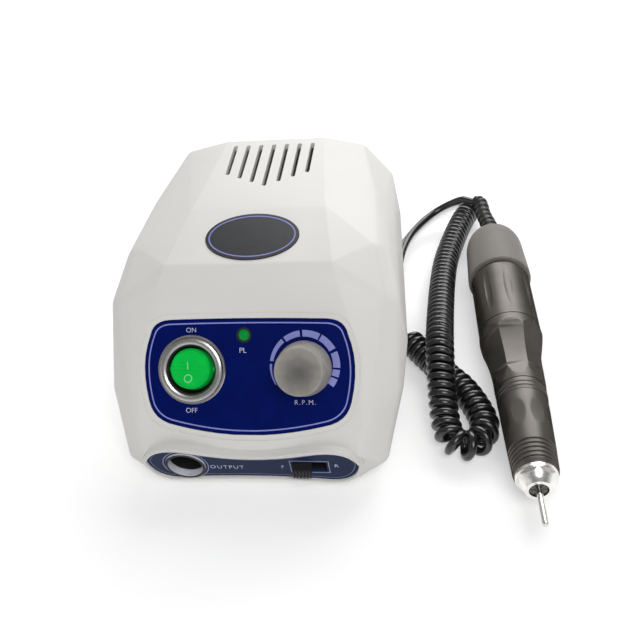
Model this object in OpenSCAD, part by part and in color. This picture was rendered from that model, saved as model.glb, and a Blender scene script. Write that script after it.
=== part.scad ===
// Dental micromotor: bench control box with a collet handpiece on a curly cord.
// Millimetres, +Z up, table at Z = 0, origin under the middle of the box, front towards -Y.

/* [Case] */
// Width of the moulded body
case_w = 117; // [114:0.5:122]
// Depth of the moulded body, front lip to rear wall
case_d = 134.8; // [131:0.2:140]
// Height of the roof above the upper panel
roof_rise = 17; // [15:0.5:19]
// Wall thickness of the moulded cover and base
wall = 2.5; // [2.2:0.1:2.8]
// Height of the joint between cover and base above the table
seam_z = 12; // [11:0.5:13]
// Diameter of each rubber foot
foot_d = 10; // [8:0.5:12]
// Width of one cooling slot in the top
vent_w = 1.8; // [1.4:0.1:2.2]
// Distance between cooling slots
vent_pitch = 5.6; // [5:0.1:6]

/* [Upper panel] */
// Diameter of the bright ring round the power switch
ring_d = 26.2; // [25:0.2:27]
// Diameter of the switch barrel
barrel_d = 20; // [19:0.5:20.5]
// Diameter of the speed knob at its foot
knob_d = 20.6; // [19:0.2:21]
// Height of the speed knob
knob_h = 13; // [11:0.5:14]
// Diameter of the pilot lamp lens
lamp_d = 4.2; // [3.8:0.1:4.6]
// Diameter of the speed control shaft
shaft_d = 6; // [5.4:0.1:6.4]

/* [Lower panel] */
// Inside diameter of the round output socket
socket_bore_d = 13.5; // [13:0.1:13.8]
// Sideways travel of the direction slider
slide_travel = 5.4; // [4.5:0.1:5.8]
// Width of the slider thumb tab
tab_w = 6.6; // [5.5:0.1:7]

/* [Handpiece] */
// Diameter of the rear cap
cap_d = 28; // [27.4:0.1:28]
// Length of the rear cap
cap_len = 36; // [34:0.5:38]
// Length of the motor sleeve in front of the cap
sleeve_len = 37.3; // [36:0.1:40]
// Length of the turning chuck sleeve
chuck_len = 35.9; // [34:0.1:38]
// Length of the grooved lock ring
lock_len = 6.4; // [6:0.1:8]
// Length of the front sleeve
front_len = 35.6; // [34:0.1:38]
// Length of the bright nose
nose_len = 6.8; // [6.4:0.1:8]
// Diameter of the tool shank held in the collet
pin_d = 2.35; // [2.3:0.01:2.4]
// Length of shank that stands out of the nose
pin_out = 15; // [12:0.5:18]
// Running clearance between turning pieces, per side
run_gap = 0.05; // [0.03:0.01:0.08]

/* [Cord] */
// Diameter of the cord
wire_d = 3.4; // [3:0.1:3.5]
// Outside diameter of the curls
coil_d = 12; // [11.4:0.1:12]

/* [Hidden] */
$fn = 64;

white = [0.90, 0.89, 0.86];
navy = [0.05, 0.07, 0.34];
slate = [0.16, 0.19, 0.33];
dark = [0.06, 0.06, 0.07];
grey = [0.45, 0.43, 0.40];
steel = [0.72, 0.73, 0.75];
brass = [0.78, 0.62, 0.30];
copper = [0.72, 0.40, 0.20];
green = [0.05, 0.65, 0.18];

// general clearances
fit_gap = 0.15;
seat_gap = 0.05;

// sides of the moulded body
side_x = case_w / 2;
front_y = -65.3;
rear_y = front_y + case_d;

// levels of the lower panel, the upper panel, the brow and the roof
lower_z = 14.3;
panel_gap = 4.6;
panel_z = lower_z + 6 + panel_gap + 18.9;
brow_z = panel_z + 24.2;
case_h = brow_z + roof_rise;
far = 200;

// corners of the moulded body: half width, depth, height, edge radius
body_corners = [
  [side_x - 37.5, rear_y - 13, case_h - 3, 3],
  [side_x - 22, rear_y - 15.5, case_h - 6.5, 4],
  [side_x - 14, rear_y - 7.5, brow_z - 7, 5],
  [side_x - 12, rear_y - 5, brow_z - 27.5, 5],
  [side_x - 18.5, rear_y - 8.5, 5.8, 3],
  [side_x - 32, 8, case_h - 7.5, 4],
  [side_x - 27, -20, case_h - 13.2, 4],
  [side_x - 17.5, 23.5, brow_z + 2.5, 8],
  [side_x - 15.5, -7, brow_z - 2.5, 10],
  [side_x - 25, -24.5, brow_z, 4],
  [side_x - 12, -22.5, brow_z - 11.5, 10],
  [side_x - 6, -27, brow_z - 25.5, 6],
  [side_x - 7.5, -41, brow_z - 36.5, 6],
  [side_x - 9, 9, brow_z - 22.5, 6],
  [side_x - 16.5, -37.5, brow_z - 21.5, 6],
  [side_x - 16.5, -54.3, brow_z - 43.8, 6],
  [side_x - 12, front_y + 9.3, 11.5, 5],
  [side_x - 12.5, front_y + 19.3, 8, 4],
  [side_x - 18.5, front_y + 4, 18, 4],
  [side_x - 19.5, front_y + 5.8, 6.3, 3.5]];
floor_z = 3;
body_fn = 32;

// upper panel plane and lower panel plane
panel_y = -47.2;
panel_turn = 53.5;
lower_y = front_y - 0.6;
lower_turn = 99.5;
fascia_t = 1.2;
fascia_n = -0.3;
fascia_back = fascia_n - fascia_t;
frame_n = -0.4;

// places on the upper panel
switch_u = 36.9 - side_x;
switch_v = 1.1;
knob_u = side_x - 37.1;
knob_v = 1.6;
lamp_u = -1.3;
lamp_v = 14;
barrel_r = barrel_d / 2;
ring_r = ring_d / 2;
ring_h = 2.1;
lip_r = barrel_r - 0.4;
barrel_top = fascia_n + 1.2;
rocker_r = barrel_r - 2.2;
rocker_side_r = rocker_r - 0.2;
rocker_bore_r = barrel_r - 1;
rocker_n = -2.4;
rocker_rise = 5.4;
rocker_drop = 6;
rocker_tilt = 8;
lamp_r = lamp_d / 2;
holder_r = lamp_r + 0.5;
lens_r = 3;
shaft_r = shaft_d / 2;
bush_r = shaft_r + 0.6;
nut_h = 2.2;

// places on the lower panel
socket_u = 32.6 - side_x;
socket_v = -1.3;
socket_r = socket_bore_d / 2;
socket_out_r = socket_r + 0.75;
socket_depth = 9;
socket_long = 14;
insert_r = socket_r - 0.6;
slider_v = -1.3;
slot_u = side_x - 36.3;
slot_w = 13;
slot_h = 6;
slider_rest_u = slot_u - slide_travel / 2;
bezel_back = -2.6;
bezel_top = 0.8;
bezel_side = 1.8;
bezel_rise = 1.6;
bezel_floor = -fascia_t;

// transformer
core_w = 50;
core_t = 28;
core_h = 42;
limb = 16;
side_limb = 8;
core_y = rear_y - 31.5;
strap_x = core_w / 2 + 7;
strap_t = 1.2;
strap_w = 15;
strap_out = core_w / 2 + strap_t + 0.02;
core_floor = floor_z + 2.5;

// circuit board
board_w = 66;
board_d = 42;
board_t = 1.6;
board_y = -19;
board_z = 15;
board_top = board_z + board_t;
board_hole_x = board_w / 2 - 5;
board_hole_y = board_d / 2 - 6;
sink_y = board_y + board_d / 2 - 12;

// rear fittings
rear_seat_y = rear_y - 4;
pad_r = 9.5;
fitting_r = 6;
flange_r = 8.4;
flange_t = 2.4;
fuse_x = core_w / 2 - 1;
gland_x = -fuse_x;
gland_z = 24;
gland_bore_r = 3.3;

// case screws
screw_r = 1.45;
head_r = 2.9;
head_t = 2;
head_z = floor_z + 2;
screw_bite = 10;
post_r = 3.6;
post_x = board_w / 2 + post_r + 1.4;
post_rear_y = rear_y - 17.5;
posts = [[post_x, post_rear_y], [-post_x, post_rear_y], [post_x, -28], [-post_x, -28]];
foot_rear_x = side_x - 31.5;
foot_rear_y = rear_y - 15.5;
foot_front_x = side_x - 25.5;
feet = [[foot_rear_x, foot_rear_y], [-foot_rear_x, foot_rear_y], [foot_front_x, -44], [-foot_front_x, -44]];

// handpiece placing, and stations along its axis from the cap front edge to the nose
hand_at = [96.25, 47, 14];
hand_tilt = 0.7;
hand_yaw = 4.25;
hand_dir = [sin(hand_yaw) * cos(hand_tilt), -cos(hand_yaw) * cos(hand_tilt), -sin(hand_tilt)];
cap_r = cap_d / 2;
cap_bore_r = cap_r - 2;
cap_rear_r = cap_r - 0.9;
cap_hole_r = 2.2;
dome_len = 14;
seam_s = sleeve_len;
ring_s = seam_s + chuck_len;
front_s = ring_s + lock_len;
nose_s = front_s + front_len;
tip_s = nose_s + nose_len;
seat_s = nose_s - 15.7;
can_front_s = seam_s - 4.3;
sleeve_r = 12.9;
sleeve_in_r = 11.3;
can_r = sleeve_in_r - 0.1;
barrel_out_r = 9;
chuck_front_r = 10;
chuck_flutes = 8;
sleeve_flutes = 9;
barrel_in_r = 7;
bearing_r = barrel_in_r - 0.02;
spindle_r = 3.9;
spindle_bore_r = 2.5;
collet_r = spindle_bore_r - run_gap;
pin_r = pin_d / 2;
pin_from = nose_s - 17.2;
bearing_len = 4;
spring_from = seam_s + 23.35;
spring_to = seat_s - 3.75;
motor_r = 1.5;
arm_r = 7.4;
comm_r = 3.4;

// cord route: x, y, z, distance per curl; zero means plain lead
wire_r = wire_d / 2;
coil_r = coil_d / 2 - wire_r;
lead_route = [[86, 111.6, 17.2, 0], [80, 115.5, 16.6, 0], [72.6, 117.3, 12.6, 0],
  [65.6, 115.5, 9.2, 0], [59.2, 108.5, 7.6, 0], [53.8, 100, 6.2, 0], [50.2, 88.5, 5, 0],
  [48.6, 75, 3.2, 0], [48.2, 56, 2, 0], [49, 40, 2, 0], [51, 27, 4, 0]];
coil_route = [[55, 16, 6.7, 4.6], [62.5, 5.7, 6.3, 4.6], [72, -7, 6.2, 4.7],
  [78.8, -15.5, 6.2, 5], [84, -25.6, 6.3, 5.8], [87.3, -36, 6.3, 8.2], [85.8, -44, 6.3, 11.1],
  [80.8, -47.9, 6.5, 11], [75, -45.4, 7, 11.3], [72.2, -37, 8.6, 8.6], [71, -26, 13, 5.3],
  [70.2, -14.5, 17.8, 4.7], [69.8, -3, 19.8, 4.6], [69.7, 11, 18.6, 4.4],
  [69.8, 28, 15.6, 4.3], [70.2, 48.5, 12, 4.2], [71.6, 71, 9, 4.2], [75.6, 94.5, 7, 4.2],
  [80, 112, 6.4, 4.3], [84.4, 123.5, 6.3, 4.4]];
tail_route = [[86.4, 131, 4.6, 0], [83.6, 136.4, 2.6, 0], [77.5, 137, 2, 0],
  [71.6, 133.6, 2, 0], [65, 127, 2, 0], [58.5, 117.6, 2, 0], [53, 106.4, 2, 0],
  [48.4, 96, 2, 0], [41, 88.5, 2.6, 0], [31, 86, 6, 0], [22, 86, 8, 0],
  [14, 86, 8, 0]];
plug_at = [14, 86, 8];
plug_r = 7.8;
plug_len = 30;
boot_base = hand_at - cap_len * hand_dir;
boot_route = [boot_base, boot_base - 9 * hand_dir, [90.4, 101, 15.8], [88.9, 109.7, 17.5],
  xyz(lead_route[0])];

// placing
module on_panel() translate([0, panel_y, panel_z]) rotate([panel_turn, 0, 0]) children();
module on_lower() translate([0, lower_y, lower_z]) rotate([lower_turn, 0, 0]) children();
module on_badge() translate([0, 8, case_h - 3.5]) rotate([11.5, 0, 0]) translate([0, -16.4, 0]) children();
module on_hand() translate(hand_at) rotate([90 + hand_tilt, 0, hand_yaw]) children();
module both() {
  children();
  mirror([1, 0, 0]) children();
}
module tube(r_out, r_in, z0, z1) difference() {
  translate([0, 0, z0]) cylinder(r = r_out, h = z1 - z0);
  translate([0, 0, z0 - 1]) cylinder(r = r_in, h = z1 - z0 + 2);
}
module rod(r, z0, z1) translate([0, 0, z0]) cylinder(r = r, h = z1 - z0);
module block(x0, x1, y0, y1, z0, z1) translate([x0, y0, z0]) cube([x1 - x0, y1 - y0, z1 - z0]);

// outline helpers
function bez(a, b, c, n) = [for (i = [0 : n - 1]) let (t = i / n)
  a * (1 - t) * (1 - t) + b * 2 * t * (1 - t) + c * t * t];
function mirror_u(p) = [for (i = [len(p) - 1 : -1 : 0]) [-p[i][0], p[i][1]]];
panel_w = side_x - 20.9;
function panel_half(g) = concat(
  bez([0, 20.2 + g], [16, 20.2 + g], [panel_w - 7.6, 19.8 + g], 3),
  bez([panel_w - 7.6, 19.8 + g], [panel_w - 1 + g, 19.4 + g], [panel_w + g, 14], 6),
  bez([panel_w + g, 14], [panel_w + 4.4 + g, 3.4], [panel_w + 1 + g, -11], 6),
  bez([panel_w + 1 + g, -11], [panel_w - 0.6 + g, -18.2 - g], [panel_w - 8.6, -19.8 - g], 6),
  bez([panel_w - 8.6, -19.8 - g], [14, -23.5 - g], [0, -23.5 - g], 5));
bone_w = side_x - 17.6;
function bone_half(g, h) = concat(
  bez([0, 4 + h], [10, 4 + h], [bone_w - 18.9, 7.1 + h], 4),
  bez([bone_w - 18.9, 7.1 + h], [bone_w - 3.9, 11.4 + h], [bone_w + g, 0.7], 7),
  bez([bone_w + g, 0.7], [bone_w - 1.9 + g, -11.6 - h], [bone_w - 13.9, -9.4 - h], 7),
  bez([bone_w - 13.9, -9.4 - h], [12, -8 - h], [0, -8 - h], 4));
module panel_shape(g) polygon(concat(panel_half(g), mirror_u(panel_half(g))));
module bone_shape(g, h) polygon(concat(bone_half(g, h), mirror_u(bone_half(g, h))));
module ellipse_shape(a, b) polygon([for (i = [0 : 71]) [a * cos(i * 5), b * sin(i * 5)]]);
module prism(n0, n1) translate([0, 0, n0]) linear_extrude(n1 - n0) children();

// moulded body
module body_form(inset) hull() for (c = body_corners) both()
  translate([c[0], c[1], c[2]]) sphere(r = c[3] - inset, $fn = body_fn);
module at_posts(z) for (p = posts) translate([p[0], p[1], z]) children();
module at_rear(x) translate([x, rear_seat_y, gland_z]) rotate([-90, 0, 0]) children();
module lower_cut() on_lower() {
  prism(bezel_back, 12) bone_shape(bezel_side + fit_gap, bezel_rise + fit_gap);
  translate([socket_u, socket_v, 0]) rod(socket_out_r + 1, -20, 1);
  block(slot_u - 11.6, slot_u + 11.6, slider_v - 6.1, slider_v + 6.1, -20, 1);
}
module vents() for (i = [-3 : 3]) {
  y0 = 23.6 + abs(i) * 2.9;
  y1 = rear_y - 16.9;
  z0 = case_h - 15;
  for (y = [y0, y1]) translate([i * vent_pitch, y, z0]) cylinder(d = vent_w, h = 20);
  block(i * vent_pitch - vent_w / 2, i * vent_pitch + vent_w / 2, y0, y1, z0, z0 + 20);
}
module top_cover() color(white) difference() {
  intersection() {
    body_form(0);
    block(-far, far, -far, far, seam_z, far);
  }
  difference() {
    body_form(wall);
    at_posts(0) cylinder(r = post_r, h = far);
    for (x = [gland_x, fuse_x]) at_rear(x) rod(pad_r, -6, 9);
  }
  at_posts(seam_z - 1) cylinder(r = screw_r + seat_gap, h = screw_bite + 3);
  for (x = [gland_x, fuse_x]) at_rear(x) {
    rod(fitting_r + fit_gap, -12, 9);
    rod(pad_r, 0, 9);
  }
  on_panel() {
    prism(frame_n, 12) panel_shape(2.2);
    prism(fascia_back, 12) panel_shape(fit_gap);
    translate([switch_u, switch_v, 0]) rod(barrel_r + fit_gap, -12, 1);
    translate([knob_u, knob_v, 0]) rod(bush_r + fit_gap, -12, 1);
    translate([lamp_u, lamp_v, 0]) rod(holder_r + fit_gap, -12, 1);
  }
  lower_cut();
  on_badge() prism(-0.4, 9) ellipse_shape(18.2 + fit_gap, 12.2 + fit_gap);
  vents();
}
module board_spots(z) for (x = [-1, 1], y = [-1, 1])
  translate([x * board_hole_x, board_y + y * board_hole_y, z]) children();
module at_straps() both() translate([strap_x, core_y, 0]) children();
module base() color(white) difference() {
  union() {
    difference() {
      intersection() {
        body_form(0);
        block(-far, far, -far, far, floor_z, seam_z);
      }
      difference() {
        body_form(wall);
        block(-far, far, -far, far, -9, core_floor);
        at_posts(0) cylinder(r = post_r + 1, h = far);
      }
    }
    board_spots(core_floor - 1) cylinder(r = 3, h = board_z - core_floor + 1);
  }
  at_posts(0) {
    rod(screw_r + 0.3, 0, seam_z + 9);
    rod(head_r + 0.3, 0, head_z + head_t);
  }
  board_spots(board_z - 6) cylinder(r = 1.3, h = 9);
  at_straps() rod(1.3, floor_z + 0.5, floor_z + 9.5);
  lower_cut();
}
module rubber_feet() color(dark) for (p = feet) translate([p[0], p[1], 0])
  cylinder(d = foot_d, h = floor_z);
module case_screws() color(steel) at_posts(0) {
  rod(head_r, head_z, head_z + head_t);
  rod(screw_r, head_z + 1, seam_z + screw_bite);
}

// upper panel pieces
module front_fascia() color(navy) on_panel() difference() {
  prism(fascia_back, fascia_n) panel_shape(0);
  translate([switch_u, switch_v, 0]) rod(barrel_r + fit_gap, -5, 5);
  translate([knob_u, knob_v, 0]) rod(bush_r + fit_gap, -5, 5);
  translate([lamp_u, lamp_v, 0]) rod(holder_r + fit_gap, -5, 5);
}
module on_switch() on_panel() translate([switch_u, switch_v, 0]) children();
module switch_ring() color(steel) on_switch() translate([0, 0, fascia_n]) rotate_extrude() polygon([
  [barrel_r + fit_gap, 0], [ring_r, 0], [ring_r, 0.7], [ring_r - 0.3, 1], [ring_r - 0.75, 1],
  [ring_r - 0.85, 1.25], [ring_r - 1.2, ring_h - 0.3], [ring_r - 1.9, ring_h], [barrel_r + 0.3, ring_h],
  [lip_r, ring_h - 0.4], [lip_r, barrel_top - fascia_n + seat_gap],
  [barrel_r + fit_gap, barrel_top - fascia_n + seat_gap]]);
module switch_body() color(dark) on_switch() difference() {
  rod(barrel_r, -17, barrel_top);
  rod(rocker_bore_r, -9.6, 9);
  translate([0, 0, rocker_n]) rotate([0, 90, 0]) rod(1 + run_gap, -barrel_r + 0.4, barrel_r - 0.4);
  for (x = [-4.5, 0, 4.5]) block(x - 1, x + 1, -2.6, 2.6, -20, -13);
}
module rocker_form() rotate_extrude() {
  intersection() {
    circle(r = rocker_r, $fn = 96);
    translate([0, -rocker_drop]) square([rocker_r + 1, rocker_drop + 1.8]);
  }
  polygon([[0, 0], [rocker_side_r, 0], [rocker_side_r, rocker_rise - 0.9],
    [rocker_side_r - 0.4, rocker_rise - 0.3], [rocker_side_r - 1.1, rocker_rise + 0.9],
    [0, rocker_rise + 0.9]]);
}
module power_rocker() color(green) on_switch() translate([0, 0, rocker_n]) rotate([-rocker_tilt, 0, 0]) {
  difference() {
    rocker_form();
    rotate([rocker_tilt, 0, 0]) block(-20, 20, 0, 20, rocker_rise, 20);
    rotate([-rocker_tilt, 0, 0]) block(-20, 20, -20, 0, rocker_rise, 20);
  }
  rotate([0, 90, 0]) rod(1, -barrel_r + 0.5, barrel_r - 0.5);
}
module switch_terminals() color(brass) on_switch() for (x = [-4.5, 0, 4.5])
  block(x - 0.4, x + 0.4, -2.4, 2.4, -24, -13.1);
module on_lamp() on_panel() translate([lamp_u, lamp_v, 0]) children();
module lamp_holder() color(dark) on_lamp() difference() {
  union() {
    rod(holder_r, -4, fascia_n + 0.3);
    rod(holder_r + 0.3, fascia_n, fascia_n + 0.3);
  }
  rod(lamp_r + seat_gap, -6, 3);
}
module pilot_lamp() color(green) on_lamp() rotate_extrude() {
  polygon([[0, -6], [lamp_r + 0.5, -6], [lamp_r + 0.5, -4.05], [lamp_r, -4.05], [lamp_r, -0.5], [0, -0.5]]);
  intersection() {
    translate([0, 0.6 - lens_r]) circle(r = lens_r, $fn = 48);
    translate([0, -0.6]) square([lamp_r, 2]);
  }
}
module on_knob() on_panel() translate([knob_u, knob_v, 0]) children();
module potentiometer() color(steel) on_knob() difference() {
  union() {
    rod(8.5, -12, -wall - 0.02);
    rod(bush_r, -4, fascia_n + 3.6);
  }
  rod(shaft_r + run_gap, -10, 9);
}
module pot_shaft() color(steel) on_knob() rod(shaft_r, -9, knob_h - 3);
module pot_nut() color(steel) on_knob() difference() {
  translate([0, 0, fascia_n]) cylinder(r = 5.6, h = nut_h, $fn = 6);
  rod(bush_r + seat_gap, -2, 6);
}
module speed_knob() color(grey) on_knob() difference() {
  rotate_extrude() polygon([[0, 0.6], [knob_d / 2, 0.6], [knob_d / 2, 2], [knob_d / 2 - 1.3, knob_h - 0.7],
    [knob_d / 2 - 1.6, knob_h - 0.2], [knob_d / 2 - 2, knob_h], [knob_d / 2 - 2.6, knob_h - 0.1],
    [0, knob_h - 0.6]]);
  rod(shaft_r + 0.02, -1, knob_h - 2.9);
  rod(6.6, 0, 4.4);
}

// lower panel pieces
module front_bezel() color(white) on_lower() difference() {
  union() {
    prism(bezel_back, bezel_top / 2) bone_shape(bezel_side, bezel_rise);
    prism(0, bezel_top) bone_shape(bezel_side - 0.5, bezel_rise - 0.5);
  }
  prism(bezel_floor, 9) bone_shape(fit_gap, fit_gap);
  translate([socket_u, socket_v, 0]) rod(socket_out_r + fit_gap, -9, 9);
  block(slot_u - slot_w / 2, slot_u + slot_w / 2, slider_v - slot_h / 2, slider_v + slot_h / 2, -9, 9);
}
module lower_fascia() color(slate) on_lower() difference() {
  prism(bezel_floor, 0) bone_shape(0, 0);
  translate([socket_u, socket_v, 0]) rod(socket_out_r + fit_gap, -9, 9);
  block(slot_u - slot_w / 2, slot_u + slot_w / 2, slider_v - slot_h / 2, slider_v + slot_h / 2, -9, 9);
}
module on_socket() on_lower() translate([socket_u, socket_v, 0]) children();
module output_socket() color(steel) on_socket() difference() {
  union() {
    rod(socket_out_r, -socket_long, 0.8);
    rod(socket_out_r + 0.4, 0, 0.8);
  }
  rod(socket_r, -socket_depth, 2);
  rod(insert_r + seat_gap, -socket_long - 1, 2);
}
module socket_insert() color(dark) on_socket() difference() {
  rod(insert_r, -socket_long, -socket_depth);
  for (a = [0 : 45 : 180]) rotate([0, 0, a]) translate([3.5, 0, 0]) rod(0.8, -socket_long + 1, 0);
  rod(0.9, -socket_long + 1, 0);
}
module direction_switch() color(dark) on_lower() difference() {
  block(slot_u - 11.3, slot_u + 11.3, slider_v - 5.8, slider_v + 5.8, -12, bezel_back);
  block(slot_u - 9.6, slot_u + 9.6, slider_v - 3.6, slider_v + 3.6, -9, -4);
  block(slot_u - 7.4, slot_u + 7.4, slider_v - 2.6, slider_v + 2.6, -6, 2);
}
module direction_slider() color(dark) on_lower() translate([slider_rest_u, slider_v, 0]) {
  block(-5.8, 5.8, -3.45, 3.45, -7, -4.15);
  difference() {
    block(-tab_w / 2, tab_w / 2, -2.45, 2.45, -4.5, 3.6);
    for (x = [-2 : 1 : 2]) block(x * 1.25 - 0.3, x * 1.25 + 0.3, -4, 4, 3, 5);
  }
}
module badge() color(dark) on_badge() prism(-0.4, 0.5) ellipse_shape(18.2, 12.2);

// parts inside the box
module transformer_core() color(grey) translate([0, core_y, core_floor]) difference() {
  block(-core_w / 2, core_w / 2, -core_t / 2, core_t / 2, 0, core_h);
  both() block(limb / 2, core_w / 2 - side_limb, -30, 30, side_limb, core_h - side_limb);
}
module transformer_winding() color(copper) translate([0, core_y, core_floor]) difference() {
  block(-core_w / 2 + side_limb + 0.3, core_w / 2 - side_limb - 0.3, -core_t / 2 - 7, core_t / 2 + 7,
    side_limb + 0.02, core_h - side_limb - 0.02);
  block(-limb / 2 - 0.02, limb / 2 + 0.02, -core_t / 2 - 0.1, core_t / 2 + 0.1, 0, core_h);
}
module transformer_bracket() color(steel) translate([0, core_y, core_floor]) difference() {
  union() {
    block(-strap_out, strap_out, -strap_w / 2, strap_w / 2, core_h + 0.02, core_h + strap_t);
    both() block(core_w / 2 + 0.02, strap_out, -strap_w / 2, strap_w / 2, 0, core_h + 1);
    both() block(core_w / 2 + 0.1, strap_x + 5, -strap_w / 2, strap_w / 2, 0, strap_t);
  }
  both() translate([strap_x, 0, 0]) rod(1.6, -1, 3);
}
module inner_screws() color(steel) {
  at_straps() {
    rod(1.25, floor_z + 0.8, core_floor + 2);
    rod(2.6, core_floor + strap_t, core_floor + strap_t + 1.6);
  }
  board_spots(0) {
    rod(1.25, board_z - 5, board_top + 1);
    rod(2.6, board_top, board_top + 1.6);
  }
}
module circuit_board() color([0.10, 0.35, 0.15]) difference() {
  translate([0, board_y, 0]) block(-board_w / 2, board_w / 2, -board_d / 2, board_d / 2, board_z, board_top);
  board_spots(0) rod(1.4, 0, 40);
}
module capacitor() color(slate) translate([17 - board_w / 2, sink_y - 1, board_top]) rod(8, 0, 22);
module heat_sink() color(steel) translate([board_w / 2 - 19, sink_y, board_top]) {
  block(-12, 12, -5, -2, 0, 22);
  for (i = [-3 : 3]) block(i * 3.6 - 0.6, i * 3.6 + 0.6, -2.5, 7, 0, 22);
}
module power_transistor() color(dark) translate([board_w / 2 - 19, sink_y, board_top]) {
  block(-5, 5, -9.5, -5, 4, 20);
  for (x = [-2.5, 0, 2.5]) block(x - 0.4, x + 0.4, -7.6, -6.9, 0, 5);
}
module rear_fitting(x, bore_r, depth) at_rear(x) difference() {
  union() {
    rod(flange_r, 0, flange_t);
    rod(fitting_r, -8, 1);
  }
  rod(bore_r, depth, 9);
}
module cord_gland() color(dark) rear_fitting(gland_x, gland_bore_r, -20);
module fuse_holder() color(dark) rear_fitting(fuse_x, 2.6, 1);

// handpiece shell pieces
function dome(r0, s0, wide, deep) = [for (i = [0 : 12]) [r0 + wide * cos(i * 7.5), s0 - deep * sin(i * 7.5)]];
cap_inner = dome(4, dome_len + 1 - cap_len, cap_bore_r - 4.8, dome_len - 1.5);
module rear_cap() color(dark) on_hand() rotate_extrude($fn = 96) polygon(concat(
  [[cap_bore_r, 0], [cap_r - 0.4, 0], [cap_r, -0.5], [cap_r, -3]],
  dome(5.2, dome_len - cap_len, cap_rear_r - 5.2, dome_len),
  [[cap_hole_r, -cap_len], [cap_hole_r, 2.5 - cap_len]],
  [for (i = [12 : -1 : 0]) cap_inner[i]], [[cap_bore_r, -6]]));
module flutes(n, s, depth, long_r, r, a0) for (i = [0 : n - 1]) rotate([0, 0, a0 + i * 360 / n])
  translate([r - depth + long_r, 0, s]) rotate([90, 0, 0]) translate([0, 0, -20])
  cylinder(r = long_r, h = 40, $fn = 200);
module scoops(n, s, depth, long_r, r, tube_r, a0) for (i = [0 : n - 1]) rotate([0, 0, a0 + i * 360 / n])
  translate([r - depth + long_r, 0, s]) rotate([90, 0, 0]) rotate_extrude($fn = 200)
  translate([long_r - tube_r, 0]) circle(r = tube_r);
module motor_sleeve() color(dark) on_hand() difference() {
  rotate_extrude($fn = 96) polygon([[sleeve_in_r, -5], [cap_bore_r - seat_gap, -5],
    [cap_bore_r - seat_gap, 1.2],
    [sleeve_r - 0.5, 1.2], [sleeve_r, 2], [sleeve_r, seam_s], [sleeve_in_r, seam_s]]);
  scoops(sleeve_flutes, seam_s / 2, 0.5, 180, sleeve_r, 4, 5);
}
module chuck_sleeve() color(dark) on_hand() difference() {
  rotate_extrude($fn = 96) polygon([[barrel_out_r + run_gap, seam_s + 0.4], [sleeve_r, seam_s + 0.4],
    [sleeve_r + 0.3, seam_s + 5], [sleeve_r + 0.3, ring_s - 26], [sleeve_r - 0.1, ring_s - 21],
    [sleeve_r - 0.9, ring_s - 16], [sleeve_r - 1.7, ring_s - 11], [sleeve_r - 2.4, ring_s - 6],
    [chuck_front_r + 0.1, ring_s - 1.5], [chuck_front_r, ring_s], [barrel_out_r + run_gap, ring_s]]);
  flutes(chuck_flutes, ring_s - 8.2, 0, 90, chuck_front_r - 0.1, 4);
}
module lock_ring() color(dark) on_hand() rotate_extrude($fn = 96) polygon(concat(
  [[barrel_out_r + 0.02, ring_s + 0.3], [chuck_front_r - 0.1, ring_s + 0.3]],
  [for (s = [ring_s + 2.2, ring_s + 4.3], k = [0 : 3])
    [chuck_front_r - [0.1, 0.45, 0.45, 0.1][k], s + k * 0.25]],
  [[chuck_front_r - 0.2, front_s], [barrel_out_r + 0.02, front_s]]));
function groove(s, r) = [[r, s], [r - 0.45, s + 0.2], [r - 0.45, s + 0.9], [r - 0.02, s + 1.1]];
module front_sleeve() color(dark) on_hand() difference() {
  rotate_extrude($fn = 96) polygon(concat([[barrel_in_r + 0.6, front_s], [9.7, front_s], [9.6, front_s + 6],
    [9.25, nose_s - 19.6], [8.95, nose_s - 11.2]],
    [for (i = [0 : 4], k = [0 : 3]) groove(nose_s - 10.8 + i * 2, 8.9 - i * 0.09)[k]],
    [[8.3, nose_s - 0.5], [8, nose_s], [barrel_in_r, nose_s], [barrel_in_r, seat_s],
    [barrel_in_r + 0.6, seat_s]]));
  flutes(8, front_s + 13, 0.45, 60, 9.5, 22.5);
}
module inner_barrel() color(steel) on_hand() difference() {
  union() {
    rod(barrel_out_r, seam_s - 3, front_s);
    rod(barrel_in_r + 0.58, front_s - 1, seat_s - 0.1);
    rod(sleeve_in_r - 0.02, seam_s - 3, seam_s);
  }
  rod(barrel_in_r, seam_s - 1, nose_s);
  rod(2.4, seam_s - 9, seam_s + 9);
}
module nose_cone() color(steel) on_hand() difference() {
  rotate_extrude($fn = 96) polygon([[spindle_r + 0.3, nose_s], [7.8, nose_s], [7.8, nose_s + 1.4],
    [7.5, nose_s + 1.8], [5.5, tip_s - 1.6], [4.9, tip_s], [3.6, tip_s], [3.6, tip_s - 2.2],
    [spindle_r + 0.3, tip_s - 2.4]]);
  for (i = [0 : 5]) rotate([0, 0, i * 60]) block(6.5, 12, -8, 8, nose_s + 1.9, tip_s + 2);
}

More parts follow.
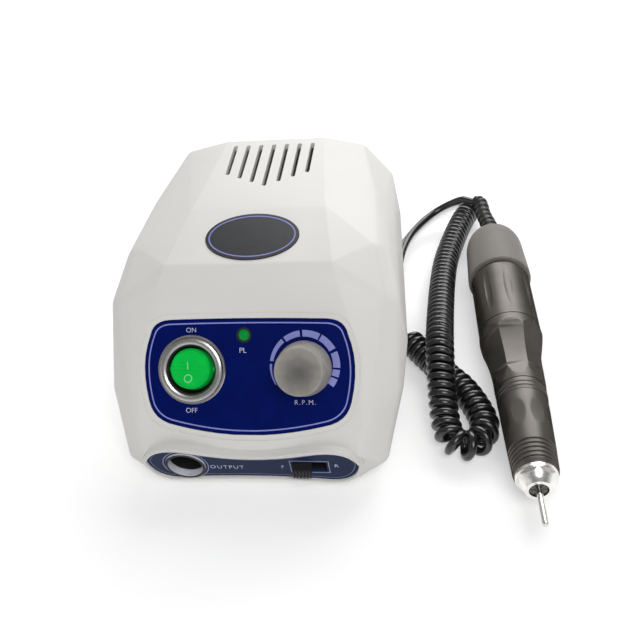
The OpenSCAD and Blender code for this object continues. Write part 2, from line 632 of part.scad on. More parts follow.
// motor pieces
module motor_can() color(steel) on_hand() tube(can_r, can_r - 0.8, -4, can_front_s);
module field_magnets() color(grey) on_hand() both() difference() {
  tube(can_r - 0.82, 8, 1, can_front_s - 5);
  block(-20, 2, -20, 20, 0, 40);
}
module armature() color(copper) on_hand() difference() {
  rod(arm_r, 4, can_front_s - 7);
  rod(motor_r + 0.01, 0, 40);
  for (i = [0 : 6]) rotate([0, 0, i * 360 / 7]) block(4.6, 9, -0.7, 0.7, 0, 40);
}
module commutator() color(brass) on_hand() tube(comm_r, motor_r + 0.01, -2.5, 3.4);
module motor_shaft() color(steel) on_hand() difference() {
  rod(motor_r, -9, seam_s + 8.7);
  block(-0.6, 0.6, -4, 4, seam_s + 4.7, seam_s + 12);
}
module brush_plate() color(slate) on_hand() difference() {
  union() {
    rod(can_r, -8.5, -4);
    rod(can_r - 0.85, -4.5, -1.8);
  }
  rod(4.02, -8, -4);
  rod(4.6, -4.2, 0);
  rod(2.2, -12, 0);
  both() block(3, 9, -1.52, 1.52, -3.6, 0);
}
module brushes() color(grey) on_hand() both() block(comm_r + 0.03, 8.8, -1.5, 1.5, -3.55, 0.5);
module front_bell() color(slate) on_hand() difference() {
  rod(can_r - 0.82, can_front_s - 4.4, can_front_s);
  rod(4.02, can_front_s - 3.6, seam_s);
  rod(2.2, 20, seam_s);
}
module ring_bearing(r_out, r_in, z0, z1) difference() {
  tube(r_out, r_in, z0, z1);
  tube(r_out - 0.8, r_in + 0.7, z1 - 0.4, z1 + 1);
  tube(r_out - 0.8, r_in + 0.7, z0 - 1, z0 + 0.4);
}
module motor_bearings() color(steel) on_hand() {
  ring_bearing(4, motor_r + 0.02, -8, -5);
  ring_bearing(4, motor_r + 0.02, can_front_s - 3.6, can_front_s - 0.6);
}

// chuck pieces
module spindle_bearings() color(steel) on_hand() {
  for (s = [spring_from - 4.65, seat_s + 0.5, seat_s + 5.5])
    ring_bearing(bearing_r, spindle_r + 0.02, s, s + bearing_len);
}
module spindle() color(steel) on_hand() difference() {
  union() {
    rod(spindle_r, seam_s + 14.7, tip_s - 3.4);
    rod(5.2, seat_s - 3.1, seat_s + 0.1);
    rod(2, seam_s + 9.2, seam_s + 15.7);
    block(-0.5, 0.5, -1.4, 1.4, seam_s + 5.7, seam_s + 9.7);
  }
  rod(spindle_bore_r, nose_s - 31.2, tip_s);
}
module collet() color(steel) on_hand() difference() {
  union() {
    rod(collet_r, nose_s - 29.2, tip_s - 3);
    rod(3.3, tip_s - 3.2, tip_s - 0.6);
  }
  rod(pin_r + 0.015, pin_from - 0.5, tip_s);
  for (a = [0, 60, 120]) rotate([0, 0, a]) block(-8, 8, -0.15, 0.15, nose_s - 9.2, tip_s);
}
module test_pin() color(steel) on_hand() rotate_extrude() polygon([[0, pin_from], [pin_r, pin_from],
  [pin_r, tip_s + pin_out - 0.3], [pin_r - 0.3, tip_s + pin_out], [0, tip_s + pin_out]]);

// swept forms
function unit(v) = v / norm(v);
function pick(r, i) = r[max(0, min(len(r) - 1, i))];
function spline(r, t) = let (i = min(floor(t), len(r) - 2), u = t - i, a = pick(r, i - 1), b = pick(r, i),
  c = pick(r, i + 1), d = pick(r, i + 2)) b + 0.5 * u * ((c - a) + u * ((2 * a - 5 * b + 4 * c - d)
  + u * (3 * (b - c) + d - a)));
function xyz(p) = [p[0], p[1], p[2]];
function slope(r, t) = (xyz(spline(r, min(len(r) - 1, t + 0.01))) - xyz(spline(r, max(0, t - 0.01))))
  / (min(len(r) - 1, t + 0.01) - max(0, t - 0.01));
function ring_pts(c, dir, ref, rad, n) = let (e1 = unit(ref - (ref * dir) * dir), e2 = cross(dir, e1))
  [for (k = [0 : n - 1]) c + rad * (cos(k * 360 / n) * e1 + sin(k * 360 / n) * e2)];
function skin(m, n) = concat([for (i = [0 : m - 2], k = [0 : n - 1], h = [0, 1]) let (a = i * n + k,
  b = i * n + (k + 1) % n) h == 0 ? [a, a + n, b + n] : [a, b + n, b]], [for (k = [1 : n - 2]) [0, k, k + 1]],
  [for (k = [1 : n - 2]) let (o = (m - 1) * n) [o, o + k + 1, o + k]]);
module skinned(rings) let (n = len(rings[0]), m = len(rings))
  polyhedron([for (r = rings) for (p = r) p], skin(m, n), convexity = 10);

// the cord: plain lead, curls, plain lead, in one length
cord_route = concat(lead_route, coil_route, tail_route);
curl_from = len(lead_route);
curl_to = len(lead_route) + len(coil_route) - 1;
function soft(x) = let (u = max(0, min(1, x))) u * u * (3 - 2 * u);
function curl_gap(t) = let (p = spline(cord_route, t)[3]) max(4, p);
function curled(t) = t > curl_from && t < curl_to;
function curl_size(t) = !curled(t) ? 0 : let (v = norm(slope(cord_route, t)) / curl_gap(t))
  coil_r * soft((t - curl_from) * v / 1.2) * soft((curl_to - t) * v / 1.2);
function march(t, a, out) = t >= len(cord_route) - 1 ? out : let (v = norm(slope(cord_route, t)),
  step = curled(t + 0.001) ? curl_gap(t) / 8 / v : min(7 / v, t < curl_from ? max(0.02, curl_from - t) : 99),
  b = curled(t + 0.001) ? a + 45 : a) march(t + step, b, concat(out, [[t, a]]));
end_t = len(cord_route) - 1;
cord_steps = [for (q = march(0, 90, [])) if (q[0] < end_t - 0.3) q];
cord_axis_end = unit(slope(cord_route, end_t));
function frame_up(dir) = unit([0, 0, 1] - dir[2] * dir);
function out_dir(t, a) = let (d = unit(slope(cord_route, t)), up = frame_up(d), side = cross(d, up))
  cos(a) * side + sin(a) * up;
function cord_point(q) = xyz(spline(cord_route, q[0])) + curl_size(q[0]) * out_dir(q[0], q[1]);
cord_mid = [for (q = cord_steps) cord_point(q)];
cord_head = xyz(cord_route[0]) + wire_d * unit(slope(cord_route, 0));
cord_tail = xyz(cord_route[end_t]) - wire_d * cord_axis_end;
cord_line = concat([cord_mid[0], cord_head], [for (i = [1 : len(cord_mid) - 1]) cord_mid[i]],
  [cord_tail, xyz(cord_route[end_t])]);
cord_ref = concat([out_dir(0, 90), out_dir(0, 90)],
  [for (i = [1 : len(cord_steps) - 1]) out_dir(cord_steps[i][0], cord_steps[i][1])],
  [for (i = [0, 1]) out_dir(end_t, cord_steps[len(cord_steps) - 1][1])]);
function run_sum(p, i, s, out) = i >= len(p) ? out : let (d = s + norm(p[i] - p[i - 1]))
  run_sum(p, i + 1, d, concat(out, [d]));
cord_far = run_sum(cord_line, 1, 0, [0]);
function line_dir(p, i) = i < 2 ? unit(p[1] - p[0]) : i > len(p) - 3 ? unit(p[len(p) - 1] - p[len(p) - 2])
  : unit(p[i + 1] - p[i - 1]);
module cord() color(dark) {
  near = min([for (i = [0 : len(cord_line) - 8], j = [i + 6 : len(cord_line) - 1])
    if (cord_far[j] - cord_far[i] > 3 * wire_d) norm(cord_line[i] - cord_line[j])]);
  echo(cord_length = cord_far[len(cord_far) - 1], least_gap = near - wire_d);
  skinned([for (i = [0 : len(cord_line) - 1])
    ring_pts(cord_line[i], line_dir(cord_line, i), cord_ref[i], wire_r, 6)]);
}
module strain_relief() color(dark) {
  n = 30;
  skinned([for (i = [0 : n]) let (t = i / n * (len(boot_route) - 1), d = unit(slope(boot_route, t)),
    f = i / n, rib = (i > 3 && i < n - 2 && i % 3 == 0) ? 0.7 : 0)
    ring_pts(xyz(spline(boot_route, t)), d, frame_up(d), 4.4 - 1.4 * f - rib, 12)]);
}
module chuck_spring() color(steel) on_hand() {
  turns = 7;
  n = turns * 10;
  pitch = (spring_to - spring_from) / n;
  line = [for (i = [0 : n]) [5.6 * cos(i * 36), 5.6 * sin(i * 36), spring_from + pitch * i]];
  skinned([for (i = [0 : n]) ring_pts(line[i], unit(line[min(n, i + 1)] - line[max(0, i - 1)]),
    [cos(i * 36), sin(i * 36), 0], 0.6, 6)]);
}

// plug pieces, lying behind the box with the mouth towards -X
module on_plug() translate(plug_at) rotate([0, -90, 0]) children();
module plug_body() color(dark) on_plug() rotate_extrude() polygon([
  [0, 0], [3.2, 0], [4, 7], [plug_r - 1.6, 9],
  [plug_r, 12], [plug_r, plug_len - 1], [plug_r - 0.6, plug_len], [0, plug_len]]);
module plug_shell() color(steel) on_plug() difference() {
  tube(6.6, 6, plug_len, plug_len + 9);
  translate([0, 5, plug_len + 2]) block(-1.5, 1.5, 0, 4, 0, 20);
}
module plug_pins() color(brass) on_plug() for (a = [0 : 45 : 180]) rotate([0, 0, a]) translate([3.5, 0, 0])
  rod(0.7, plug_len, plug_len + 8);

top_cover();
base();
front_fascia();
front_bezel();
lower_fascia();
badge();
rubber_feet();
case_screws();
switch_ring();
switch_body();
power_rocker();
switch_terminals();
pilot_lamp();
lamp_holder();
speed_knob();
potentiometer();
pot_shaft();
pot_nut();
output_socket();
socket_insert();
direction_switch();
direction_slider();
transformer_core();
transformer_winding();
transformer_bracket();
inner_screws();
circuit_board();
capacitor();
heat_sink();
power_transistor();
cord_gland();
fuse_holder();
rear_cap();
motor_sleeve();
motor_can();
field_magnets();
armature();
commutator();
motor_shaft();
brush_plate();
brushes();
front_bell();
motor_bearings();
inner_barrel();
chuck_sleeve();
lock_ring();
front_sleeve();
spindle_bearings();
spindle();
collet();
test_pin();
chuck_spring();
nose_cone();
strain_relief();
cord();
plug_body();
plug_shell();
plug_pins();
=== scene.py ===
"""Looks of a bench dental micromotor: finishes, prints, the curly cord and its boot, light and camera."""
import math

import bpy
import numpy as np
from mathutils import Matrix, Vector


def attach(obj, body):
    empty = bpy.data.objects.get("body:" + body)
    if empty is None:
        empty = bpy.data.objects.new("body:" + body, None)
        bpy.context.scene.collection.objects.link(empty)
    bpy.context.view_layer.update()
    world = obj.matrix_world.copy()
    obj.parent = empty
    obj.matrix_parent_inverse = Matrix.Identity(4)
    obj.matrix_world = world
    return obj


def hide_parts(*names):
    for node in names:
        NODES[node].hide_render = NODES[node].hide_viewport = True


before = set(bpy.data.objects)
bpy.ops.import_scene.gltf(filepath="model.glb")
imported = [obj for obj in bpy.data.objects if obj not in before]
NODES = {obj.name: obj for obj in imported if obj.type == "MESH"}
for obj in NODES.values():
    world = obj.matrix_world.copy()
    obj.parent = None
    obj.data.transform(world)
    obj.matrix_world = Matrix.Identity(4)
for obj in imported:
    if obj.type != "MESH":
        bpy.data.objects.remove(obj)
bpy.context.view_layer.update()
SCENE = bpy.context.scene
MM = 0.001


def link(name, data):
    """A new object in the scene."""
    made = bpy.data.objects.new(name, data)
    SCENE.collection.objects.link(made)
    return made


# Camera, as fitted to the photograph: metres, radians and pixels
CAMERA_AT = (0.0787807, -0.2896317, 0.2641220)
CAMERA_YAW = -0.19928347
CAMERA_PITCH = 0.66885479
CAMERA_ROLL = 0.13404906
FOCAL_PIXELS = 899.837
IMAGE_PIXELS = 640
SENSOR_MM = 36
CLIP_START = 0.01


def make_camera():
    """The photograph's view: yaw from +Y, pitch below the horizon, then roll."""
    sin_yaw, cos_yaw = math.sin(CAMERA_YAW), math.cos(CAMERA_YAW)
    sin_roll, cos_roll = math.sin(CAMERA_ROLL), math.cos(CAMERA_ROLL)
    cos_pitch = math.cos(CAMERA_PITCH)
    ahead = Vector((sin_yaw * cos_pitch, cos_yaw * cos_pitch, -math.sin(CAMERA_PITCH)))
    level = Vector((cos_yaw, -sin_yaw, 0))
    down = ahead.cross(level)
    right = cos_roll * level + sin_roll * down
    under = -sin_roll * level + cos_roll * down
    data = bpy.data.cameras.new("camera")
    data.sensor_width = SENSOR_MM
    data.lens = FOCAL_PIXELS * SENSOR_MM / IMAGE_PIXELS
    data.clip_start = CLIP_START
    camera = link("camera", data)
    turn = Matrix((right, -under, -ahead)).transposed()
    camera.matrix_world = Matrix.Translation(CAMERA_AT) @ turn.to_4x4()
    SCENE.camera = camera


make_camera()


# Placing: the same planes and axes as the solids, in millimetres
def plane(y, z, degrees):
    """A panel's frame: u to the right, v up the panel, n out of it, in metres."""
    return Matrix.Translation((0, y * MM, z * MM)) @ Matrix.Rotation(math.radians(degrees), 4, "X")


def spot(place, u, v, n=0.0):
    """A panel's frame moved to a point on it, in millimetres."""
    return place @ Matrix.Translation((u * MM, v * MM, n * MM))


UPPER = plane(-47.2, 43.8, 53.5)
LOWER = plane(-65.9, 14.3, 99.5)
BADGE = spot(plane(8, 81.5, 11.5), 0, -16.4)
SWITCH_AT = (-21.6, 1.1)
KNOB_AT = (21.4, 1.6)
SOCKET_AT = (-25.9, -1.3)
SLOT_AREA = (14, 30.4, -6.2, 3.6)
# the rocker's axis behind the panel, its faces above the axis, and the turn of the half that stands out
ROCKER_AXIS = spot(UPPER, *SWITCH_AT, -2.4)
ROCKER_FACE = 5.4
ROCKER_TURN = math.radians(-16)
# where a print lies: the panel's frame, its face above the frame, and the body that it rides on
BOX = "control_box"
UPPER_SHEET = (UPPER, -0.3, BOX)
LOWER_SHEET = (LOWER, 0.0, BOX)
BADGE_SHEET = (BADGE, 0.5, BOX)
ON_SHEET = (ROCKER_AXIS, ROCKER_FACE, "power_rocker")
OFF_SHEET = (ROCKER_AXIS @ Matrix.Rotation(ROCKER_TURN, 4, "X"), ROCKER_FACE, "power_rocker")
# the handpiece's joint of cap and sleeve, and its axis toward the nose
HAND_AT = np.array((96.25, 47, 14.0))
HAND_YAW = math.radians(4.25)
HAND_TILT = math.radians(0.7)
HAND_DIR = np.array((math.sin(HAND_YAW) * math.cos(HAND_TILT),
                     -math.cos(HAND_YAW) * math.cos(HAND_TILT),
                     -math.sin(HAND_TILT)))
CAP_LENGTH = 36

# Materials
NOISE_LOW = 0.3
NOISE_HIGH = 0.7
PATCH_DETAIL = 3.0
GRAIN_DETAIL = 2.0
LEAST_ROUGH = 0.02
COAT_ROUGH = 0.16
EVEN = (1, 1, 1)


def principled(made):
    return made.node_tree.nodes["Principled BSDF"]


def shader(name, colour, rough, metallic=0.0):
    """A new material with its Principled shader, and the plain values set on it."""
    made = bpy.data.materials.new(name)
    made.use_nodes = True
    bsdf = principled(made)
    bsdf.inputs["Base Color"].default_value = (*colour, 1)
    bsdf.inputs["Roughness"].default_value = rough
    bsdf.inputs["Metallic"].default_value = metallic
    return made, bsdf


def add_node(made, kind, **inputs):
    """A new node with its inputs set, an underscore standing for a space."""
    node = made.node_tree.nodes.new(kind)
    for key, value in inputs.items():
        node.inputs[key.replace("_", " ")].default_value = value
    return node


def add_math(made, kind, operation):
    """A new math or vector math node with its operation set."""
    node = add_node(made, kind)
    node.operation = operation
    return node


def soft_range(made, from_low, from_high, to_low, to_high):
    """A new map range node with soft ends."""
    node = add_node(made, "ShaderNodeMapRange", From_Min=from_low, From_Max=from_high, To_Min=to_low,
                    To_Max=to_high)
    node.interpolation_type = "SMOOTHSTEP"
    return node


def noise(made, scale, detail, stretch=EVEN):
    """Noise over the piece's own coordinates, scale in features per metre."""
    links = made.node_tree.links
    coords = add_node(made, "ShaderNodeTexCoord")
    mapping = add_node(made, "ShaderNodeMapping", Scale=stretch)
    texture = add_node(made, "ShaderNodeTexNoise", Scale=scale, Detail=detail)
    links.new(coords.outputs["Object"], mapping.inputs["Vector"])
    links.new(mapping.outputs["Vector"], texture.inputs["Vector"])
    return texture.outputs["Fac"]


def ramp(made, fac, low, high):
    """A number between two values, by noise."""
    node = add_node(made, "ShaderNodeMapRange", From_Min=NOISE_LOW, From_Max=NOISE_HIGH, To_Min=low,
                    To_Max=high)
    made.node_tree.links.new(fac, node.inputs["Value"])
    return node.outputs["Result"]


def tint(made, fac, dim, lift):
    """A colour between two colours, by noise."""
    node = add_node(made, "ShaderNodeValToRGB")
    ends = ((NOISE_LOW, dim), (NOISE_HIGH, lift))
    for element, (position, colour) in zip(node.color_ramp.elements, ends):
        element.position = position
        element.color = (*colour, 1)
    made.node_tree.links.new(fac, node.inputs["Fac"])
    return node.outputs["Color"]


def bump(made, bsdf, fac, height_mm):
    node = add_node(made, "ShaderNodeBump", Strength=1.0, Distance=height_mm * MM)
    made.node_tree.links.new(fac, node.inputs["Height"])
    made.node_tree.links.new(node.outputs["Normal"], bsdf.inputs["Normal"])


def finish(name, colour, rough, vary, patch, grain, grain_mm, rough_vary=0.08, metallic=0.0, stretch=EVEN,
           coat=0.0, specular=0.5):
    """Moulded plastic, film, rubber or metal: slow patches of tint, and a fine grain of gloss and height."""
    made, bsdf = shader(name, colour, rough, metallic)
    links = made.node_tree.links
    slow = noise(made, patch, PATCH_DETAIL)
    dim = tuple(c * (1 - vary) for c in colour)
    lift = tuple(min(1, c * (1 + vary)) for c in colour)
    links.new(tint(made, slow, dim, lift), bsdf.inputs["Base Color"])
    fine = noise(made, grain, GRAIN_DETAIL, stretch)
    gloss = ramp(made, fine, max(LEAST_ROUGH, rough - rough_vary), rough + rough_vary)
    links.new(gloss, bsdf.inputs["Roughness"])
    bump(made, bsdf, fine, grain_mm)
    bsdf.inputs["Specular IOR Level"].default_value = specular
    bsdf.inputs["Coat Weight"].default_value = coat
    bsdf.inputs["Coat Roughness"].default_value = COAT_ROUGH
    return made


def ink(name, colour):
    """A printed film."""
    return finish(name, colour, 0.5, vary=0.06, patch=400, grain=9000, grain_mm=0.002, specular=0.2)


# the glow of the green plastics: the pilot lamp's own light, and painted light on the rocker
LAMP_AND_PAINTED_ROCKER_GLOW = 0.16
LAMP_SCATTER = 0.25
LAMP_SCATTER_RADIUS = (0.0006, 0.003, 0.0008)


def glowing_green(name, colour, rough):
    """Translucent coloured plastic that glows: the pilot lamp's own light behind it, and painted light on the
    rocker, which has no lamp.
    """
    made = finish(name, colour, rough, vary=0.12, patch=180, grain=2500, grain_mm=0.003, specular=0.06)
    bsdf = principled(made)
    bsdf.inputs["Emission Color"].default_value = (*colour, 1)
    bsdf.inputs["Emission Strength"].default_value = LAMP_AND_PAINTED_ROCKER_GLOW
    bsdf.inputs["Subsurface Weight"].default_value = LAMP_SCATTER
    bsdf.inputs["Subsurface Radius"].default_value = LAMP_SCATTER_RADIUS
    return made


WHITE = finish("case_white", (0.78, 0.765, 0.74), 0.45, vary=0.015, patch=30, grain=5200, grain_mm=0.006)
NAVY = finish("panel_navy", (0.0006, 0.0065, 0.108), 0.42, vary=0.10, patch=140, grain=3000, grain_mm=0.003,
              specular=0.04)
SLATE = finish("panel_slate", (0.015, 0.027, 0.072), 0.45, vary=0.12, patch=160, grain=3000, grain_mm=0.004,
               specular=0.12)
BLACK_GLOSS = finish("badge_black", (0.019, 0.020, 0.023), 0.34, vary=0.12, patch=120, grain=3000,
                     grain_mm=0.003)
BLACK = finish("moulded_black", (0.014, 0.014, 0.016), 0.48, vary=0.2, patch=150, grain=5000, grain_mm=0.008,
               specular=0.3)
RUBBER = finish("feet_rubber", (0.02, 0.02, 0.021), 0.75, vary=0.2, patch=200, grain=6000, grain_mm=0.012)
PRINT = ink("print_lavender", (0.27, 0.29, 0.66))
PRINT_PALE = ink("print_pale", (0.36, 0.38, 0.66))
PRINT_DIM = ink("print_dim", (0.19, 0.21, 0.34))
PRINT_WORDS = ink("print_words", (0.66, 0.68, 0.86))
ROCKER_MARK = ink("rocker_mark", (0.30, 0.78, 0.36))
CHROME = finish("bright_chrome", (0.47, 0.46, 0.45), 0.29, vary=0.08, patch=220, grain=2600, grain_mm=0.0006,
                rough_vary=0.03, metallic=1.0)
STEEL = finish("plated_steel", (0.55, 0.55, 0.56), 0.28, vary=0.1, patch=200, grain=3600, grain_mm=0.003,
               metallic=1.0)
TOOL_STEEL = finish("tool_steel", (0.72, 0.71, 0.69), 0.20, vary=0.1, patch=260, grain=5200, grain_mm=0.003,
                    metallic=1.0, stretch=(1, 0.06, 1))
NOSE_STEEL = finish("nose_steel", (0.88, 0.86, 0.83), 0.27, vary=0.08, patch=180, grain=4200, grain_mm=0.002,
                    rough_vary=0.05, metallic=1.0, stretch=(1, 0.2, 1))
COLLET_STEEL = finish("collet_dark", (0.12, 0.116, 0.11), 0.3, vary=0.2, patch=300, grain=5200,
                      grain_mm=0.004, metallic=1.0)
BRASS = finish("contact_brass", (0.62, 0.44, 0.18), 0.3, vary=0.12, patch=300, grain=4000, grain_mm=0.003,
               metallic=1.0)
COPPER = finish("winding_copper", (0.48, 0.2, 0.08), 0.4, vary=0.2, patch=300, grain=2600, grain_mm=0.03,
                metallic=0.8, stretch=(1, 1, 6))
ALUMINIUM = finish("heat_sink_metal", (0.6, 0.61, 0.62), 0.4, vary=0.1, patch=120, grain=3200, grain_mm=0.006,
                   metallic=1.0, stretch=(1, 1, 0.05))
CORE = finish("core_steel", (0.17, 0.165, 0.16), 0.5, vary=0.2, patch=100, grain=2400, grain_mm=0.03,
              metallic=0.8, stretch=(0.05, 4, 0.05))
MAGNET = finish("magnet_grey", (0.1, 0.1, 0.1), 0.7, vary=0.2, patch=160, grain=4200, grain_mm=0.015)
BOARD = finish("board_green", (0.02, 0.12, 0.035), 0.4, vary=0.25, patch=220, grain=1400, grain_mm=0.02,
               coat=0.3)
KNOB = finish("knob_grey", (0.32, 0.305, 0.28), 0.62, vary=0.14, patch=260, grain=3600, grain_mm=0.02)
# the knob's face: a darker copy of the knob's grey, painted shade on the face against its lighter side
KNOB_FACE = finish("knob_face", (0.29, 0.275, 0.255), 0.62, vary=0.14, patch=260, grain=3600, grain_mm=0.02)
SOCKET_GREY = finish("socket_grey", (0.66, 0.68, 0.74), 0.5, vary=0.1, patch=260, grain=4200, grain_mm=0.006)
HAND_CAP = finish("handpiece_cap", (0.205, 0.190, 0.175), 0.58, vary=0.05, patch=120, grain=4800,
                  grain_mm=0.008)
HAND_METAL = finish("handpiece_metal", (0.155, 0.145, 0.134), 0.45, vary=0.08, patch=120, grain=4800,
                    grain_mm=0.004, rough_vary=0.05, metallic=1.0)
# painted shade: a dark edge tint on the handpiece metal dims its reflections toward its sides
HAND_EDGE_SHADE_TINT = (0.1, 0.1, 0.1, 1)
principled(HAND_METAL).inputs["Specular Tint"].default_value = HAND_EDGE_SHADE_TINT
CORD = finish("cord_black", (0.005, 0.005, 0.006), 0.30, vary=0.25, patch=240, grain=900, grain_mm=0.0004,
              rough_vary=0.03, coat=0.6)
BOOT = finish("boot_black", (0.016, 0.015, 0.014), 0.40, vary=0.2, patch=240, grain=3600, grain_mm=0.008)


def from_axis(made, vector):
    """Distance from a frame's n axis."""
    flat = add_math(made, "ShaderNodeVectorMath", "MULTIPLY")
    flat.inputs[1].default_value = (1, 1, 0)
    away = add_math(made, "ShaderNodeVectorMath", "LENGTH")
    made.node_tree.links.new(vector, flat.inputs[0])
    made.node_tree.links.new(flat.outputs["Vector"], away.inputs[0])
    return away.outputs["Value"]


def above_plane(made, vector):
    """Height out of a frame's plane."""
    split = add_node(made, "ShaderNodeSeparateXYZ")
    made.node_tree.links.new(vector, split.inputs["Vector"])
    return split.outputs["Z"]


def paint_shade(made, place, measure, low_mm, high_mm, dim):
    """Paints shade into a finish: from a dim share of its colour to all of it, between two values of a
    measure.
    """
    links = made.node_tree.links
    base = principled(made).inputs["Base Color"]
    plain = base.links[0].from_socket
    coords = add_node(made, "ShaderNodeTexCoord")
    mapping = add_node(made, "ShaderNodeMapping", Location=place.to_translation(), Rotation=place.to_euler())
    mapping.vector_type = "TEXTURE"
    links.new(coords.outputs["Object"], mapping.inputs["Vector"])
    share = soft_range(made, low_mm * MM, high_mm * MM, dim, 1)
    links.new(measure(made, mapping.outputs["Vector"]), share.inputs["Value"])
    mix = add_node(made, "ShaderNodeMix")
    mix.data_type = "RGBA"
    mix.blend_type = "MULTIPLY"
    mix.inputs["Factor"].default_value = 1
    links.new(plain, mix.inputs["A"])
    links.new(share.outputs["Result"], mix.inputs["B"])
    links.new(mix.outputs["Result"], base)


# painted shade: the darker middle of the knob's face, a little below its axis, and the shade painted inside
# the socket below its rim
KNOB_SHADE_DROP = 1
KNOB_SHADE_R = 9.5
KNOB_PAINTED_SHADE = 0.4
SOCKET_RIM = 1.9
SOCKET_FADE = 0.5
SOCKET_PAINTED_SHADE = 0.02
paint_shade(KNOB_FACE, spot(UPPER, KNOB_AT[0], KNOB_AT[1] - KNOB_SHADE_DROP), from_axis, 0, KNOB_SHADE_R, KNOB_PAINTED_SHADE)
# painted shade deep in the socket's bore, below its rim
paint_shade(SOCKET_GREY, LOWER, above_plane, -(SOCKET_RIM + SOCKET_FADE), -SOCKET_RIM, SOCKET_PAINTED_SHADE)
# the rocker's glow is painted light
ROCKER = glowing_green("rocker_green", (0.002, 0.50, 0.060), 0.42)
LAMP = glowing_green("lamp_green", (0.003, 0.26, 0.040), 0.12)

NODE_FINISH = {
    "top_cover": WHITE, "base": WHITE, "front_bezel": WHITE, "front_fascia": NAVY, "lower_fascia": SLATE,
    "badge": BLACK_GLOSS, "rubber_feet": RUBBER, "case_screws": STEEL, "switch_ring": CHROME,
    "switch_body": BLACK, "power_rocker": ROCKER, "switch_terminals": BRASS, "pilot_lamp": LAMP,
    "lamp_holder": BLACK, "speed_knob": KNOB, "potentiometer": STEEL, "pot_shaft": STEEL, "pot_nut": STEEL,
    "output_socket": SOCKET_GREY, "socket_insert": BLACK, "direction_switch": BLACK,
    "direction_slider": BLACK, "transformer_core": CORE, "transformer_winding": COPPER,
    "transformer_bracket": STEEL, "inner_screws": STEEL, "circuit_board": BOARD, "capacitor": SLATE,
    "heat_sink": ALUMINIUM, "power_transistor": BLACK, "cord_gland": BLACK, "fuse_holder": BLACK,
    "rear_cap": HAND_CAP, "motor_sleeve": HAND_METAL, "motor_can": CORE, "field_magnets": MAGNET,
    "armature": COPPER, "commutator": BRASS, "motor_shaft": TOOL_STEEL, "brush_plate": SLATE,
    "brushes": MAGNET, "front_bell": SLATE, "motor_bearings": TOOL_STEEL, "inner_barrel": TOOL_STEEL,
    "chuck_sleeve": HAND_METAL, "lock_ring": HAND_METAL, "front_sleeve": HAND_METAL,
    "spindle_bearings": TOOL_STEEL, "spindle": TOOL_STEEL, "collet": COLLET_STEEL, "test_pin": TOOL_STEEL,
    "chuck_spring": TOOL_STEEL, "nose_cone": NOSE_STEEL, "plug_body": BLACK, "plug_shell": STEEL,
    "plug_pins": BRASS,
}
SMOOTH_ANGLE = math.radians(32)
SHELL_ANGLE = math.radians(28)
SOFT_SHELLS = ("top_cover", "base")
WELD_GAP = 0.002
FACING = 0.95


def dress_nodes():
    """Gives each solid its finish, welds its faces and smooths what is round."""
    for name, made in NODE_FINISH.items():
        solid = NODES[name]
        mesh = solid.data
        shell = name in SOFT_SHELLS
        mesh.materials.clear()
        mesh.materials.append(made)
        mesh.polygons.foreach_set("use_smooth", [True] * len(mesh.polygons))
        for layer in ("custom_normal", "sharp_edge", "sharp_face"):
            if layer in mesh.attributes:
                mesh.attributes.remove(mesh.attributes[layer])
        weld = solid.modifiers.new("weld", "WELD")
        weld.merge_threshold = WELD_GAP * MM
        split = solid.modifiers.new("split", "EDGE_SPLIT")
        split.split_angle = SHELL_ANGLE if shell else SMOOTH_ANGLE
        weigh = solid.modifiers.new("weigh", "WEIGHTED_NORMAL")
        weigh.mode = "CORNER_ANGLE" if shell else "FACE_AREA"


def refinish(name, made, picked):
    """Gives the picked faces of a solid their own finish."""
    mesh = NODES[name].data
    mesh.materials.append(made)
    mesh.polygons.foreach_set("material_index", [int(picked(face)) for face in mesh.polygons])


def face_front(name, place, made):
    """Refinishes the faces that look out of a panel: a socket's rim, a knob's face."""
    out = place.to_3x3() @ Vector((0, 0, 1))
    refinish(name, made, lambda face: face.normal.dot(out) > FACING)


def face_inside(name, place, area, made):
    """Refinishes the walls of a hole: faces wholly within an area of a panel, in millimetres."""
    u0, u1, v0, v1 = area
    back = place.inverted()
    spots = [back @ v.co / MM for v in NODES[name].data.vertices]
    held = [u0 < p.x < u1 and v0 < p.y < v1 for p in spots]
    refinish(name, made, lambda face: all(held[i] for i in face.vertices))


dress_nodes()
face_front("output_socket", LOWER, BLACK)
# painted shade: the white bezel's walls round the slider's slot are finished black
face_inside("front_bezel", LOWER, SLOT_AREA, BLACK)
face_front("speed_knob", UPPER, KNOB_FACE)


# Mesh helpers
def add_mesh(name, points, faces, made, body, place=Matrix.Identity(4), smooth=True):
    """A piece from points in millimetres, set in place and riding on its body."""
    data = bpy.data.meshes.new(name)
    data.from_pydata([place @ (Vector(p) * MM) for p in points], [], faces)
    data.validate()
    data.materials.append(made)
    data.polygons.foreach_set("use_smooth", [smooth] * len(data.polygons))
    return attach(link(name, data), body)


def band_faces(count, layers):
    """Quads that join layers of points, each layer a loop of the same count."""
    def quad(low, high, i):
        after = (i + 1) % count
        return low + i, low + after, high + after, high + i

    return [quad(k * count, (k + 1) * count, i) for k in range(layers - 1) for i in range(count)]


